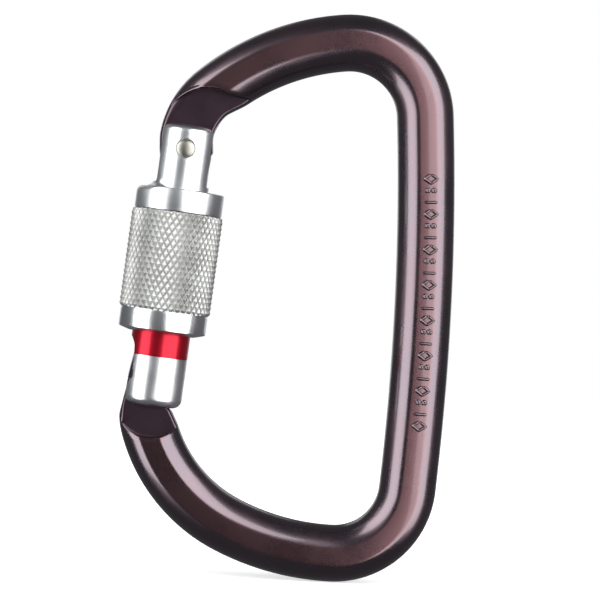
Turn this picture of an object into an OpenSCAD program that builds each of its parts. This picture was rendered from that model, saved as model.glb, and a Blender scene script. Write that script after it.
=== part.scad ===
// Screw-lock carabiner, offset D shape, millimetres.
// The loop lies in the XZ plane: the gate is on the -X side, its hinge is at the top, and the
// thickness runs along Y. The origin is the middle of the whole object's box.

/* [Frame] */
// Width of the bar, seen from the front
bar_w = 11.2; // [10:0.1:13]
// Thickness of the bar between its two flats, front to back
bar_t = 10.5; // [9.6:0.1:11]
// Radius of the spine's slight outward bow
spine_r = 500; // [300:10:900]
// Length of the spine along its centreline, between the two bends
spine_len = 73.4; // [60:0.2:92]
// Radius of the bend between the spine and the top
top_bend_r = 14.9; // [12:0.1:18]
// Sweep of the bend between the spine and the top, degrees
top_bend_a = 92.3; // [88:0.1:96]
// Radius of the long arc along the top
top_arc_r = 45.8; // [38:0.1:56]
// Sweep of the long arc along the top, degrees
top_arc_a = 35; // [30:0.5:38]
// Radius of the bend that turns down into the hinge
hinge_bend_r = 14.4; // [12:0.1:18]
// Sweep of the bend that turns down into the hinge, degrees
hinge_bend_a = 43.5; // [41:0.5:46]
// Radius of the bend between the spine and the bottom
low_bend_r = 14.4; // [12:0.1:18]
// Sweep of the bend between the spine and the bottom, degrees
low_bend_a = 86; // [83:0.5:89]
// Radius of the long arc along the bottom
low_arc_r = 49.6; // [42:0.1:60]
// Sweep of the long arc along the bottom, degrees
low_arc_a = 24.6; // [20:0.1:28]
// Radius of the arc that rises to the nose
nose_arc_r = 30.4; // [27:0.1:34]

/* [Hinge] */
// Distance from the end of the hinge bend to the rivet
rivet_drop = 1.7; // [1:0.1:3]
// Radius of the rivet's shank
rivet_r = 1.5; // [1.2:0.1:1.8]
// How much wider the rivet's closed heads are than its shank, in radius
rivet_head_w = 0.35; // [0.2:0.05:0.5]
// Depth of the seat that each rivet head fills
rivet_head_h = 0.5; // [0.3:0.1:0.8]
// Height of the dome on each rivet head
rivet_dome_h = 0.25; // [0.1:0.05:0.4]
// Radial clearance of the shank in the tang
rivet_gap = 0.05; // [0.02:0.01:0.1]
// Thickness of both tangs
tang_t = 4.4; // [3.6:0.1:4.8]
// Radius of the tang's round end, about the rivet
tang_r = 5; // [4.6:0.1:5.1]
// Radius of the cutter that thins the bar at the hinge
hinge_pocket_r = 9.2; // [8.6:0.1:10]
// Offset of that cut from the rivet, inward and upward alike
hinge_pocket_off = 3.5; // [3:0.1:4]
// Height above the rivet of the flat that ends that cut on the inner side
hinge_pocket_flat = 11.9; // [10:0.1:12.4]
// Widest opening of the gate, degrees
open_a = 36; // [24:1:38]
// Travel of the plunger over the whole opening
cam_rise = 1.5; // [1:0.1:1.8]
// How far the cam stands out past the tang's round end, gate shut
cam_proud = 0.11; // [0.1:0.01:0.3]
// Gap between the plunger and the cam
cam_gap = 0.04; // [0.02:0.01:0.06]

/* [Gate] */
// Radius of the neck that carries the rivet
neck_r = 5.4; // [5:0.1:5.7]
// Height of the neck above the rivet
neck_top = 4.6; // [4:0.1:5]
// Rounding of the neck's top edge
neck_edge = 1.4; // [0.6:0.1:1.6]
// Radius of the flange
flange_r = 8.6; // [8:0.1:9.6]
// Height of the flange
flange_h = 4.4; // [3:0.1:5]
// Radius of the fillet between neck and flange, on the outer half
flange_fillet = 1.9; // [1.5:0.1:3]
// Rounding of the flange's outer edge
flange_edge = 1.2; // [0.6:0.1:1.6]
// Radius of the barrel
barrel_r = 5.75; // [5.5:0.05:6.2]
// Rounding of the barrel's free end
barrel_edge = 1.8; // [1:0.1:2.2]
// Bare tang between the barrel's end and the bar
nose_gap = 3.8; // [3.4:0.1:5]
// Clearance on each side of a tang in its slot
slot_gap = 0.1; // [0.05:0.05:0.15]
// Clearance between the cam's highest point and the hinge slot's floor
floor_gap = 0.22; // [0.1:0.01:0.4]
// Radius of the bore for the plunger and spring
bore_r = 2.2; // [2:0.1:2.25]
// Depth of that bore below the slot's floor
bore_depth = 17; // [16:0.5:22]
// Pitch of the screw thread
pitch = 2.5; // [2:0.1:3]
// Height of the gate's thread crests above the barrel
thread_h = 0.35; // [0.2:0.05:0.4]
// Thread left in mesh when the sleeve is down
thread_hold = 3.5; // [2.5:0.5:6]

/* [Nose] */
// Length of the wide head on the nose
head_len = 6.9; // [5:0.1:8]
// Half the width of that head, front to back
head_half = 3.5; // [3.2:0.1:3.6]
// Distance from the barrel's end up to the wide head
head_up = 5.1; // [4.6:0.1:6]
// Distance from the gate's axis to the nose's inner face
nose_in = 3.2; // [2.9:0.1:3.3]
// Distance from the gate's axis to the outer edge, at the head's top
nose_out_top = 4.7; // [4.4:0.1:5]
// Distance from the gate's axis to the outer edge, at the head's foot
nose_out_foot = 5.4; // [5.2:0.1:5.5]
// Distance from the gate's axis to the outer corner of the bar
nose_out_bar = 6.2; // [5.8:0.1:6.4]
// Radius of the cutter that thins the bar at the nose
nose_pocket_r = 7.2; // [6.8:0.1:8]
// How far that cut runs past the end of the nose's arc
nose_pocket_deep = 2.4; // [1.6:0.1:3]
// Clearance round the head in the gate
head_gap = 0.25; // [0.15:0.05:0.3]

/* [Sleeve] */
// Outer radius over the knurl
sleeve_r = 9; // [8.4:0.1:10]
// Length of the knurled part
knurl_len = 19.5; // [16:0.1:21]
// Outer radius of the smooth collar below the knurl
collar_r = 8.6; // [8:0.1:9]
// Length of the smooth collar
collar_len = 4.5; // [3:0.1:5]
// Width of the flat rim left at the collar's lower end
rim_w = 0.55; // [0.3:0.05:1.5]
// Height of the collar's lower chamfer
chamfer_h = 0.65; // [0.4:0.05:1]
// Clearance of the sleeve's chamber over the gate's thread crests
chamber_gap = 0.5; // [0.35:0.05:0.8]
// Height of the lip that runs on the barrel
lip_h = 2.4; // [1.5:0.1:3]
// Radial clearance of the lip on the barrel
lip_gap = 0.1; // [0.05:0.01:0.1]
// Clearance between the thread crests of gate and sleeve
crest_gap = 0.1; // [0.1:0.05:0.15]
// Gap between the flange and the sleeve
rest_gap = 0.05; // [0.03:0.01:0.1]
// Travel of the sleeve from unlocked to locked
sleeve_travel = 8.84; // [7:0.02:9]
// Barrel left showing below the sleeve when it is locked
lock_show = 5.5; // [5:0.1:7]

/* [Small parts] */
// Radius of the snap ring's wire
ring_wire_r = 0.35; // [0.25:0.05:0.4]
// Gap between the snap ring and the barrel
ring_gap = 0.05; // [0.04:0.01:0.1]
// Part of a turn that the snap ring covers, degrees
ring_a = 325; // [300:5:340]
// Height of the red band
band_h = 5.2; // [4:0.1:6]
// Thickness of the red band
band_t = 0.3; // [0.2:0.05:0.4]
// Part of the band that the unlocked sleeve still covers
band_under = 0.6; // [0.3:0.1:1]
// Radial clearance of the plunger in its bore
plunger_gap = 0.1; // [0.05:0.01:0.1]
// Length of the plunger's head below its dome
plunger_len = 3; // [2:0.1:4]
// Clearance between the plunger's stem and the spring's coils
stem_gap = 0.35; // [0.2:0.05:0.5]
// Clearance of the spring's coils in their bore
spring_gap = 0.35; // [0.1:0.05:0.5]
// Radius of the spring's wire
spring_wire_r = 0.25; // [0.2:0.01:0.3]
// Number of coils in the spring
spring_turns = 9; // [6:1:12]

/* [Hidden] */
$fn = 96;
bronze = [0.33, 0.24, 0.27];
silver = [0.80, 0.81, 0.83];
steel = [0.62, 0.61, 0.58];
red = [0.78, 0.06, 0.16];
past = 1;        // how far a cut runs past the face that it opens
sink = 0.4;      // how far a joined shape runs into its neighbour
ends_gap = 0.05; // gap at each end of the spring and round the band
joint_len = 0.6; // length of the collar where two stretches of bar meet
joint_grow = 0.03; // how far that collar stands out
nose_over = 5;   // how far the last arc runs on before it is trimmed
nose_trim = 0.6; // gap between the barrel's end and the trimmed bar
wall_gap = 0.15; // gap between the nose and the wall that rests on it
shell_gap = 0.15; // how far the nose lies inside the barrel's round
root_rise = 1.2; // height over which the nose widens to the bar's outer corner
cam_step = 2;    // degrees between the cam's points
tang_edge = 5.1; // inner edge of the tang, from the gate's axis
tang_foot = 0.8; // lowest point of that edge, below the rivet

// A place on the centreline is [x, z, heading in degrees]; turn is 1 to the left and -1 to the right.
function arc_centre(p, r, turn) = [p[0] - turn * r * sin(p[2]), p[1] + turn * r * cos(p[2])];
function arc_end(p, r, a, turn) =
    let (c = arc_centre(p, r, turn), h = p[2] + turn * a)
    [c[0] + turn * r * sin(h), c[1] - turn * r * cos(h), h];

// The upper branch runs from the middle of the spine to the hinge, turning left all the way.
spine_half_a = spine_len / 2 / spine_r * 180 / PI;
up_0 = [0, 0, 90];
up_1 = arc_end(up_0, spine_r, spine_half_a, 1);
up_2 = arc_end(up_1, top_bend_r, top_bend_a, 1);
up_3 = arc_end(up_2, top_arc_r, top_arc_a, 1);
up_4 = arc_end(up_3, hinge_bend_r, hinge_bend_a, 1);
rivet_x = up_4[0] + rivet_drop * cos(up_4[2]);
rivet_z = up_4[1] + rivet_drop * sin(up_4[2]);
gate_tilt = 270 - up_4[2];

// The lower branch turns right all the way, and stops where it crosses the gate's axis.
down_0 = [0, 0, -90];
down_1 = arc_end(down_0, spine_r, spine_half_a, -1);
down_2 = arc_end(down_1, low_bend_r, low_bend_a, -1);
down_3 = arc_end(down_2, low_arc_r, low_arc_a, -1);
nose_c = arc_centre(down_3, nose_arc_r, -1);
axis_to_c = (nose_c[0] - rivet_x) * cos(gate_tilt) - (nose_c[1] - rivet_z) * sin(gate_tilt);
rivet_to_c = -(nose_c[0] - rivet_x) * sin(gate_tilt) - (nose_c[1] - rivet_z) * cos(gate_tilt);
nose_at = rivet_to_c + sqrt(nose_arc_r * nose_arc_r - axis_to_c * axis_to_c);
nose_turn = acos(axis_to_c / nose_arc_r);
nose_arc_a = down_3[2] + 270 + gate_tilt - nose_turn;

// Distances below are measured from the rivet down the gate's axis.
barrel_end = nose_at - nose_gap;
shoulder_at = barrel_end + nose_trim;
outer_arc_r = nose_arc_r + bar_w / 2;
axis_to_corner = axis_to_c + nose_out_bar;
corner_at = rivet_to_c + sqrt(outer_arc_r * outer_arc_r - axis_to_corner * axis_to_corner);
sleeve_len = knurl_len + collar_len;
sleeve_end = barrel_end - lock_show - sleeve_travel;
sleeve_top = sleeve_end - sleeve_len;
flange_end = sleeve_top - rest_gap;
flange_at = flange_end - flange_h;
head_foot = barrel_end - head_up;
head_top = head_foot - head_len;
thread_crest_r = barrel_r + thread_h;
chamber_r = thread_crest_r + chamber_gap;
thread_len = sleeve_travel + thread_hold;
sleeve_crest_r = thread_crest_r + crest_gap;
sleeve_thread_len = min(sleeve_len - lip_h - 3 * ring_wire_r - pitch, 4 * pitch);
ring_r = barrel_r + ring_gap + ring_wire_r;
ring_at = sleeve_end - lip_h - ring_wire_r - ring_gap;
band_at = sleeve_end - band_under;
slot_half = tang_t / 2 + slot_gap;
rivet_head_r = rivet_r + rivet_head_w;
plunger_r = bore_r - plunger_gap;
spring_r = bore_r - spring_gap - spring_wire_r;
stem_r = spring_r - spring_wire_r - stem_gap;

// The cam is drawn a little past the widest opening. The dome's centre starts at cam_start.
cam_k = cam_rise / open_a;
cam_end = open_a + 2 * cam_step;
cam_start = tang_r + cam_proud + cam_gap + plunger_r;
slot_floor_at = tang_r + cam_proud + cam_k * cam_end + floor_gap;
stem_at = cam_start + plunger_len;
bore_end = slot_floor_at + bore_depth;
stem_end = bore_end - cam_rise - ends_gap;

// The box of the whole object, from its four extremes.
x_high = bar_w / 2;
x_low = rivet_x - (sleeve_top + knurl_len) * sin(gate_tilt) - sleeve_r * cos(gate_tilt);
z_high = arc_centre(up_1, top_bend_r, 1)[1] + top_bend_r + bar_w / 2;
z_low = arc_centre(down_1, low_bend_r, -1)[1] - low_bend_r - bar_w / 2;

// Moves from the middle of the spine to the middle of the object's box, and stands the loop up.
module in_place() {
    translate([-(x_high + x_low) / 2, 0, -(z_high + z_low) / 2])
        rotate([90, 0, 0])
            children();
}

// Places children drawn on the gate: the rivet at the origin, X inward, Y up, Z to the front.
module at_rivet() {
    translate([rivet_x, rivet_z, 0])
        rotate([0, 0, -gate_tilt])
            children();
}

module on_gate() {
    in_place()
        at_rivet()
            children();
}

// Starts children, drawn up their Z axis, at a distance below the rivet and turns them to run down.
module down(distance) {
    translate([0, -distance, 0])
        rotate([90, 0, 0])
            children();
}

// A solid turned about the gate's axis, from an outline of [radius, distance below the rivet].
module turned(angle = 360) {
    rotate([90, 0, 0])
        rotate_extrude(angle = angle)
            children();
}

// A plate of the given thickness, centred front to back.
module plate(thickness) {
    linear_extrude(height = thickness, center = true)
        children();
}

// Keeps only what is on the outer side of the gate's axis.
module outer_half(reach) {
    translate([-reach, -reach, -reach])
        cube([reach, 2 * reach, 2 * reach]);
}

// ---- frame ----

module bar_section(grow = 0) {
    intersection() {
        circle(d = bar_w + 2 * grow);
        square([2 * bar_w, bar_t + 2 * grow], center = true);
    }
}

module bar_arc(p, r, a, turn) {
    c = arc_centre(p, r, turn);
    from = turn > 0 ? p[2] - 90 : p[2] + 90 - a;
    translate([c[0], c[1], 0])
        rotate([0, 0, from])
            rotate_extrude(angle = a)
                translate([r, 0])
                    bar_section();
}

module bar_straight(p, length) {
    translate([p[0], p[1], 0])
        rotate([0, 0, p[2] - 90])
            rotate([-90, 0, 0])
                linear_extrude(height = length)
                    bar_section();
}

// A collar a hair wider than the bar, which ties two stretches together where they meet.
module bar_joint(p) {
    translate([p[0], p[1], 0])
        rotate([0, 0, p[2] - 90])
            rotate([-90, 0, 0])
                linear_extrude(height = joint_len, center = true)
                    bar_section(joint_grow);
}

// The bar from the rivet round to the bottom arc.
module main_bar() {
    spine_low = arc_end(up_0, spine_r, -spine_half_a, 1);
    bar_straight(up_4, rivet_drop);
    bar_arc(up_3, hinge_bend_r, hinge_bend_a, 1);
    bar_arc(up_2, top_arc_r, top_arc_a, 1);
    bar_arc(up_1, top_bend_r, top_bend_a, 1);
    bar_arc(spine_low, spine_r, 2 * spine_half_a, 1);
    bar_arc(down_1, low_bend_r, low_bend_a, -1);
    bar_arc(down_2, low_arc_r, low_arc_a, -1);
    for (p = [up_4, up_3, up_2, up_1, down_1, down_2, down_3])
        bar_joint(p);
}

// The last arc runs past the gate's axis and is trimmed below the barrel and at its outer corner.
module nose_bar() {
    over_a = nose_over / nose_arc_r * 180 / PI;
    intersection() {
        bar_arc(down_3, nose_arc_r, nose_arc_a + over_a, -1);
        at_rivet()
            translate([-nose_out_bar, -shoulder_at - 2 * nose_arc_r, -bar_w])
                cube([3 * nose_arc_r, 2 * nose_arc_r, 2 * bar_w]);
    }
}

// What the two cutters take off the front and the back of the bar, down to the tangs.
module both_faces() {
    for (side = [-1, 1])
        translate([0, 0, side * (tang_t + bar_w) / 2])
            plate(bar_w)
                children();
}

module hinge_pocket() {
    both_faces() {
        translate([hinge_pocket_off, hinge_pocket_off])
            circle(r = hinge_pocket_r);
        translate([-2 * bar_w, -2 * bar_w])
            square([4 * bar_w, 2 * bar_w + hinge_pocket_off]);
        translate([hinge_pocket_off, 0])
            square([2 * bar_w, hinge_pocket_flat]);
    }
}

module nose_pocket() {
    both_faces() {
        translate([0, nose_pocket_r - nose_at - nose_pocket_deep])
            circle(r = nose_pocket_r);
        translate([-2 * bar_w, nose_pocket_r - nose_at - nose_pocket_deep])
            square([4 * bar_w, 2 * bar_w]);
    }
}

// The point where the plunger's dome meets the cam when the gate has opened by angle a. The dome's
// centre is cam_start + cam_k * a from the rivet, so the cam is that spiral moved in by the dome.
function cam_point(a) =
    let (reach = cam_start + cam_k * a, k = cam_k * 180 / PI, inset = plunger_r + cam_gap,
        along = reach - inset * reach / norm([reach, k]), across = inset * k / norm([reach, k]))
    [along * sin(a) + across * cos(a), -along * cos(a) + across * sin(a)];

module hinge_tang() {
    cam = [for (a = [0 : cam_step : cam_end]) cam_point(a)];
    plate(tang_t) {
        circle(r = tang_r);
        polygon(concat([[0, 0]], cam, [[tang_edge, -tang_foot], [tang_edge, 0]]));
    }
}

// The nose's outline seen from the front: outer edge leaning out to the bar, inner face straight.
module nose_outline(top) {
    polygon([
        [-nose_out_top, -top], [nose_in, -top], [nose_in, -shoulder_at - sink],
        [-nose_out_foot, -shoulder_at - sink], [-nose_out_foot, -head_foot],
    ]);
}

module nose_shell() {
    turned()
        translate([0, head_top - past])
            square([barrel_r - shell_gap, nose_at]);
}

// The wide head is bounded by two rounds about the rivet, so that the gate swings clear of it.
module nose_head() {
    intersection() {
        plate(2 * head_half)
            nose_outline(head_top - sink);
        cylinder(r = head_foot, h = 2 * bar_w, center = true);
    }
}

module nose() {
    difference() {
        intersection() {
            union() {
                plate(tang_t)
                    nose_outline(head_top - sink);
                nose_head();
            }
            nose_shell();
        }
        cylinder(r = head_top, h = 2 * bar_w, center = true);
    }
}

// Below the barrel the nose widens to the bar's outer corner.
module nose_root() {
    plate(tang_t)
        polygon([
            [-nose_out_foot, -shoulder_at + root_rise], [nose_in - sink, -shoulder_at - sink / 2],
            [nose_in - sink, -nose_at], [0, -nose_at], [-nose_out_bar, -corner_at],
            [-nose_out_bar, -shoulder_at],
        ]);
}

module frame() {
    color(bronze)
        in_place() {
            difference() {
                union() {
                    main_bar();
                    nose_bar();
                    at_rivet()
                        hinge_tang();
                }
                at_rivet()
                    hinge_pocket();
                at_rivet()
                    nose_pocket();
                at_rivet()
                    cylinder(r = rivet_r + rivet_gap, h = 2 * bar_w, center = true);
            }
            at_rivet()
                nose_root();
            at_rivet()
                nose();
        }
}

// ---- gate ----

// A thread drawn as plain rings: outlines of [radius, distance] from a wall to its crests.
module thread_rings(wall_r, crest_r, start, count) {
    out = crest_r > wall_r ? 1 : -1;
    foot = out * pitch / 4;
    crest = out * pitch / 8;
    for (i = [0 : count - 1])
        translate([0, start + i * pitch])
            polygon([
                [wall_r - out * sink, -foot], [wall_r, -foot], [crest_r, -crest],
                [crest_r, crest], [wall_r, foot], [wall_r - out * sink, foot],
            ]);
}

module gate_outline() {
    translate([0, -neck_top])
        square([neck_r - neck_edge, neck_top]);
    translate([0, neck_edge - neck_top])
        square([neck_r, neck_top - neck_edge + flange_at + sink]);
    translate([neck_r - neck_edge, neck_edge - neck_top])
        circle(r = neck_edge);
    translate([0, flange_at])
        square([flange_r, flange_h]);
    translate([0, flange_end - sink])
        square([barrel_r, barrel_end - barrel_edge - flange_end + sink]);
    translate([0, barrel_end - 2 * barrel_edge])
        square([barrel_r - barrel_edge, 2 * barrel_edge]);
    translate([barrel_r - barrel_edge, barrel_end - barrel_edge])
        circle(r = barrel_edge);
    thread_rings(barrel_r, thread_crest_r, flange_end + pitch / 2, floor(thread_len / pitch));
}

// Only the outer half of the neck runs into the flange through a fillet.
module neck_fillet() {
    intersection() {
        turned()
            difference() {
                translate([neck_r - sink, flange_at - flange_fillet])
                    square(flange_fillet + sink);
                translate([neck_r + flange_fillet, flange_at - flange_fillet])
                    circle(r = flange_fillet);
            }
        outer_half(2 * neck_top + flange_at);
    }
}

// What rounds the flange's upper edge on the same half.
module flange_round() {
    intersection() {
        turned()
            difference() {
                translate([flange_r - flange_edge, flange_at - past])
                    square([flange_edge + past, flange_edge + past]);
                translate([flange_r - flange_edge, flange_at + flange_edge])
                    circle(r = flange_edge);
            }
        outer_half(2 * neck_top + flange_at);
    }
}

// The hinge slot is open at the top and at both sides, with a flat floor.
module hinge_slot() {
    plate(2 * slot_half)
        translate([-flange_r, -slot_floor_at])
            square([2 * flange_r, slot_floor_at + neck_top + past]);
}

module plunger_bore() {
    down(slot_floor_at - past)
        cylinder(r = bore_r, h = bore_depth + past);
}

// The keyhole for the nose: a narrow slot to the barrel's end and a wide room above it, both open
// on the outer side and closed on the inner side by the wall that rests on the nose.
module nose_keyhole(widen = 0) {
    difference() {
        union() {
            plate(2 * (slot_half + widen))
                keyhole_side(barrel_end + past);
            intersection() {
                plate(2 * (head_half + head_gap + widen))
                    keyhole_side(barrel_end + past);
                cylinder(r = head_foot + head_gap + widen, h = 2 * bar_w, center = true);
            }
        }
        cylinder(r = head_top - head_gap - widen, h = 3 * bar_w, center = true);
    }
}

module keyhole_side(low) {
    translate([-barrel_r - past, -low])
        square([barrel_r + past + nose_in + wall_gap, low - head_top / 2]);
}

module rivet_seats() {
    for (side = [-1, 1])
        scale([1, 1, side])
            translate([0, 0, neck_r - rivet_head_h])
                cylinder(r = rivet_head_r + ends_gap, h = neck_r);
}

module gate_body() {
    color(silver)
        on_gate()
            difference() {
                union() {
                    turned()
                        gate_outline();
                    neck_fillet();
                }
                flange_round();
                hinge_slot();
                plunger_bore();
                nose_keyhole();
                rivet_seats();
                cylinder(r = rivet_r, h = 2 * bar_w, center = true);
                turned()
                    translate([barrel_r - band_t, band_at])
                        square([band_t + past, band_h]);
            }
}

module lock_warning_band() {
    color(red)
        on_gate()
            difference() {
                turned()
                    translate([barrel_r - band_t, band_at + ends_gap])
                        square([band_t, band_h - 2 * ends_gap]);
                nose_keyhole(ends_gap);
            }
}

// A peened rivet: a shank, and at each end a head with a low dome.
module hinge_rivet() {
    dome_r = (rivet_head_r * rivet_head_r + rivet_dome_h * rivet_dome_h) / (2 * rivet_dome_h);
    color(steel)
        on_gate() {
            cylinder(r = rivet_r, h = 2 * (neck_r - rivet_dome_h), center = true);
            for (side = [-1, 1])
                scale([1, 1, side])
                    intersection() {
                        translate([0, 0, neck_r - dome_r])
                            sphere(r = dome_r);
                        translate([0, 0, neck_r - rivet_head_h])
                            cylinder(r = rivet_head_r, h = 2 * rivet_head_h);
                    }
        }
}

// A pin with a domed head that the spring holds against the cam on the tang.
module gate_plunger() {
    color(steel)
        on_gate() {
            down(cam_start)
                sphere(r = plunger_r);
            down(cam_start)
                cylinder(r = plunger_r, h = plunger_len);
            down(stem_at - sink)
                cylinder(r = stem_r, h = stem_end - stem_at + sink);
        }
}

// A coil swept along a helix, eight-sided wire, between the plunger's head and the bore's end.
module gate_spring() {
    sides = 8;
    per_turn = 20;
    rings = spring_turns * per_turn;
    low = stem_at + spring_wire_r + ends_gap;
    rise = (bore_end - ends_gap - spring_wire_r - low) / rings;
    points = [for (i = [0 : rings], j = [0 : sides - 1])
        let (a = 360 * i / per_turn, b = 360 * j / sides, r = spring_r + spring_wire_r * cos(b))
        [r * cos(a), -(low + rise * i + spring_wire_r * sin(b)), r * sin(a)]];
    walls = [for (i = [0 : rings - 1], j = [0 : sides - 1])
        let (k = (j + 1) % sides)
        [i * sides + j, i * sides + k, (i + 1) * sides + k, (i + 1) * sides + j]];
    first = [[for (j = [sides - 1 : -1 : 0]) j]];
    last = [[for (j = [0 : sides - 1]) rings * sides + j]];
    color(steel)
        on_gate()
            polyhedron(points = points, faces = concat(walls, first, last));
}

// ---- sleeve ----

module sleeve_outline() {
    top = sleeve_top;
    lip_r = barrel_r + lip_gap;
    polygon([
        [chamber_r, top], [sleeve_r, top], [sleeve_r, top + knurl_len],
        [collar_r, top + knurl_len], [collar_r, sleeve_end - chamfer_h],
        [lip_r + rim_w, sleeve_end], [lip_r, sleeve_end],
        [lip_r, sleeve_end - lip_h], [chamber_r, sleeve_end - lip_h],
    ]);
    thread_rings(chamber_r, sleeve_crest_r, top + pitch / 2, floor(sleeve_thread_len / pitch));
}

module locking_sleeve() {
    color(silver)
        on_gate()
            turned()
                sleeve_outline();
}

// A split wire ring held in the sleeve just above its lip.
module sleeve_snap_ring() {
    color(steel)
        on_gate()
            turned(ring_a)
                translate([ring_r, ring_at])
                    circle(r = ring_wire_r);
}

frame();
gate_body();
hinge_rivet();
gate_plunger();
gate_spring();
locking_sleeve();
sleeve_snap_ring();
lock_warning_band();
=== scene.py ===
"""Screw-lock carabiner: the finished pieces, their finishes and the studio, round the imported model.

Lengths in the mesh functions are millimetres, and a mesh is scaled to metres when it is made. Gate
coordinates are (down the gate from the rivet, inward, to the front).
"""

import math

import bmesh
import bpy
import numpy as np
from bpy.props import FloatProperty, FloatVectorProperty, IntProperty, PointerProperty
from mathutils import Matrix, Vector


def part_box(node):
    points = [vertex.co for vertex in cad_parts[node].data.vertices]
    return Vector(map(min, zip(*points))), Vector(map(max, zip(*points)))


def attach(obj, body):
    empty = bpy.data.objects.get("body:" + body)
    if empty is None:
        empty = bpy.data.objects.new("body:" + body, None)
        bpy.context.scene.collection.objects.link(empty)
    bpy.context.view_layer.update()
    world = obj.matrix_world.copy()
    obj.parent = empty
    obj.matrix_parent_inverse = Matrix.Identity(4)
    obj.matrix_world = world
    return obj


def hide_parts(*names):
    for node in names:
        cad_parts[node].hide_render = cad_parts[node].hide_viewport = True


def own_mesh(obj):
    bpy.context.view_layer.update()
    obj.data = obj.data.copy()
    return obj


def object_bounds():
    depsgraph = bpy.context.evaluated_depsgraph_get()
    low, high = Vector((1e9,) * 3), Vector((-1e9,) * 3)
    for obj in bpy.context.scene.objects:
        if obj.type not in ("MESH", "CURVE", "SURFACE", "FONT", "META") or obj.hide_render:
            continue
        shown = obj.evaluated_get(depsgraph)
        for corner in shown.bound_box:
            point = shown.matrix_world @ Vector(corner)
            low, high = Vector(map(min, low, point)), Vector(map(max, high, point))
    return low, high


bl_info = {
    "name": "Screw-Lock Carabiner",
    "version": (1, 0, 0),
    "blender": (4, 5, 0),
    "location": "View3D > Sidebar > Carabiner",
    "description": "Makes the finished pieces of a screw-lock carabiner and its studio",
    "category": "Add Mesh",
}

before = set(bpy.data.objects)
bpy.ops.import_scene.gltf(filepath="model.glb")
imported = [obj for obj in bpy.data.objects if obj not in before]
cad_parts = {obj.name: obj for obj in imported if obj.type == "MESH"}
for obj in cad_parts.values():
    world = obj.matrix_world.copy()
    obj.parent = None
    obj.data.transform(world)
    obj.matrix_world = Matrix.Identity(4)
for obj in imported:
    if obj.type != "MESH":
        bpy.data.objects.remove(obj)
CAD_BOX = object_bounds()
MM = 0.001

# The bar from the hinge round to the nose, as (radius, sweep in degrees), always turning inward.
RIVET_DROP = 1.7
BAR_ARCS = (
    (14.4, 43.5),
    (45.8, 35.0),
    (14.9, 92.3),
    (500.0, 8.411),
    (14.4, 86.0),
    (49.6, 24.6),
    (30.4, 48.59),
)
GATE_TILT = math.radians(4.99449)
BAR_HALF, FLAT_HALF, TANG_HALF, TANG_END = 5.6, 5.25, 2.2, 5.3

# The bar's flat: its height at most, where across the bar it turns, and its lean and crown.
FLAT_TOP, FLAT_TURN, FLAT_LEAN, FLAT_CROWN = 5.38, -1.5, 0.02, 0.011

# The round cuts of the two pockets, by place and radius, and how the pockets' rims are rounded.
HINGE_CUT, HINGE_CUT_R, HINGE_CUT_END = (-3.1, 3.9), 9.45, -11.95
NOSE_CUT_AT, NOSE_CUT_R = 49.886, 7.2
POCKET_EDGE, POCKET_FOOT = 0.42, 0.3

# Distances down the gate from the rivet, and radii about its axis.
NECK_R, NECK_TOP, NECK_EDGE = 5.4, 4.6, 1.4
FLANGE_AT, FLANGE_END, FLANGE_R = 8.1, 12.5, 8.6
SLEEVE_AT, KNURL_END, SLEEVE_END, SLEEVE_R, COLLAR_R = 12.55, 32.05, 36.55, 9.0, 8.6
CHAMBER_R, LIP_R, LIP_LENGTH = 6.6, 5.85, 2.4
BAND_AT, BAND_END, BAND_DEPTH = 35.95, 41.15, 0.3
BARREL_R, BARREL_END, BARREL_EDGE = 5.75, 50.886, 1.8
HEAD_TOP, HEAD_FOOT, SHOULDER_AT, HEAD_HALF, HEAD_GAP = 38.886, 45.786, 51.486, 3.5, 0.25
NOSE_IN, NOSE_OUT, NOSE_ROUND, EDGE_BLEND = 3.2, 6.14, 5.62, 0.25
WALL_IN, SLOT_HALF, ROOM_TOP, ROOM_FOOT = 3.35, 2.3, 37.6, 47.6
THREAD_PITCH, THREAD_CREST = 2.5, 6.1
KNURL_PITCH, KNURL_STEPS = 2.1, 12
BORE_R, BORE_FLOOR, BORE_END = 2.2, 7.0, 24.0
DOME_AT, DOME_R, DOME_RISE, DOME_SWEEP = 7.25, 2.1, 1.5, math.radians(36.0)
SEAT_R, RIVET_R, RIVET_DOME = 2.0, 1.8, 0.45
RING_AT, RING_WIRE, RING_TURN = 33.75, 0.35, 325.0
COIL_R, COIL_WIRE, COIL_TURNS = 1.6, 0.25, 9.0

# The raised pattern: where it starts along the bar, its step, its middle across and its stroke.
MARKS_AT, MARK_STEP, MARK_OUT, MARK_HALF, MARK_R, MARK_SIDES = 77.0, 2.3, 0.75, 1.3, 0.32, 12

# The (x, z) point that the camera looks at squarely.
VIEW_MIDDLE = (2.836, -0.780)

# Softboxes: azimuth, elevation, distance, width and height, and the setting of their brightness.
SOFTBOXES = {
    "right_softbox": (44.0, 8.0, 0.62, 0.8, 1.1, "right_light"),
    "left_softbox": (-59.0, 8.0, 0.62, 0.47, 1.1, "left_light"),
    "back_right_softbox": (160.0, 15.0, 0.75, 0.25, 0.6, "back_light"),
    "back_left_softbox": (-160.0, 15.0, 0.75, 0.25, 0.6, "back_light"),
}


# ---- places ----


def middle_of(node):
    """The middle of a node's box, in millimetres."""
    low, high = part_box(node)
    return np.array((low + high) / 2) / MM


RIVET = middle_of("hinge_rivet")
DOWN = np.array([-math.sin(GATE_TILT), 0.0, -math.cos(GATE_TILT)])
INWARD = np.array([math.cos(GATE_TILT), 0.0, -math.sin(GATE_TILT)])
FRONT = np.array([0.0, -1.0, 0.0])


def on_gate(down, inward, front):
    """Gate coordinates to model coordinates: the rivet plus each distance along its direction."""
    down, inward, front = np.broadcast_arrays(down, inward, front)
    offset = down[..., None] * DOWN + inward[..., None] * INWARD + front[..., None] * FRONT
    return RIVET + offset


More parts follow.
